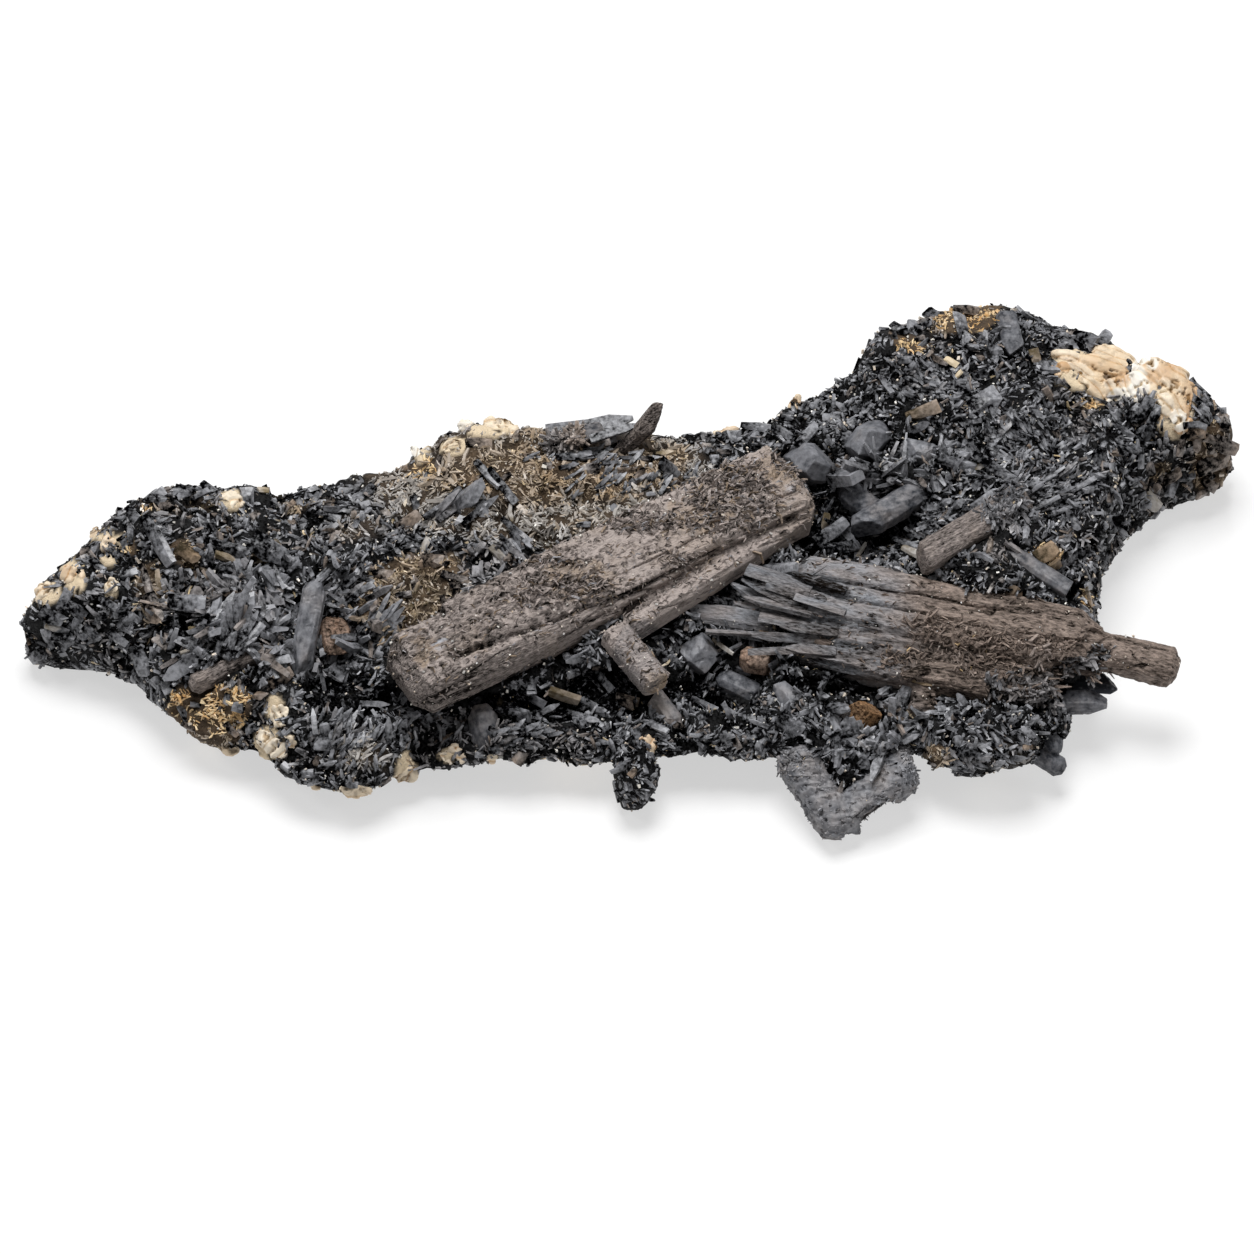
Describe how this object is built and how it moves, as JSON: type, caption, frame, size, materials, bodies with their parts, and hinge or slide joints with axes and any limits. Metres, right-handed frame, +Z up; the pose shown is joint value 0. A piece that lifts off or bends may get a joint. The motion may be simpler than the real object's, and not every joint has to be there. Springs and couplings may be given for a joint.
{
  "type": "zanazziite mineral specimen",
  "caption": "Flat natural mineral specimen: feldspar matrix crusted with dark bladed crystals, carrying long brown prisms and a fibrous crystal bundle.",
  "frame": {"origin": "middle of the specimen in plan, on the surface that it rests on", "axes": "+X along the specimen to its raised east lobe, +Y to its back edge, +Z up"},
  "size_m": [0.1216, 0.0614, 0.0184],
  "materials": {
    "crust": "druse of tiny dark crystals, satin faces",
    "brown_prism": "dull, finely striated along the crystal",
    "grey_crystal": "smooth satin crystal faces",
    "tan_crystal": "dull broken crystal",
    "rust": "earthy iron stain",
    "feldspar": "platy, pearly, stained ochre in places"
  },
  "bodies": {
    "root": {"matrix": "crust", "long_prism": "brown_prism", "fibrous_bundle": "brown_prism", "leaning_rod": "grey_crystal", "standing_blade": "brown_prism", "lying_blade": "grey_crystal", "west_stubby_prism": "grey_crystal", "north_stubby_prism": "grey_crystal", "hollow_crossing": "grey_crystal", "cavity_lath": "grey_crystal", "drooping_lath": "grey_crystal", "brown_plate": "tan_crystal", "front_west_lath": "tan_crystal", "rounded_crystal": "grey_crystal", "shard_below_stub": "grey_crystal", "hollow_boulder": "grey_crystal", "hollow_prism": "grey_crystal", "broken_tan_crystal": "tan_crystal", "grey_bipyramid": "grey_crystal", "rust_nodule": "rust", "elbow_twin": "grey_crystal", "black_lath": "crust", "grey_lath": "grey_crystal", "corner_prisms": "grey_crystal", "east_lath": "grey_crystal", "north_blade": "grey_crystal"}
  },
  "joints": []
}
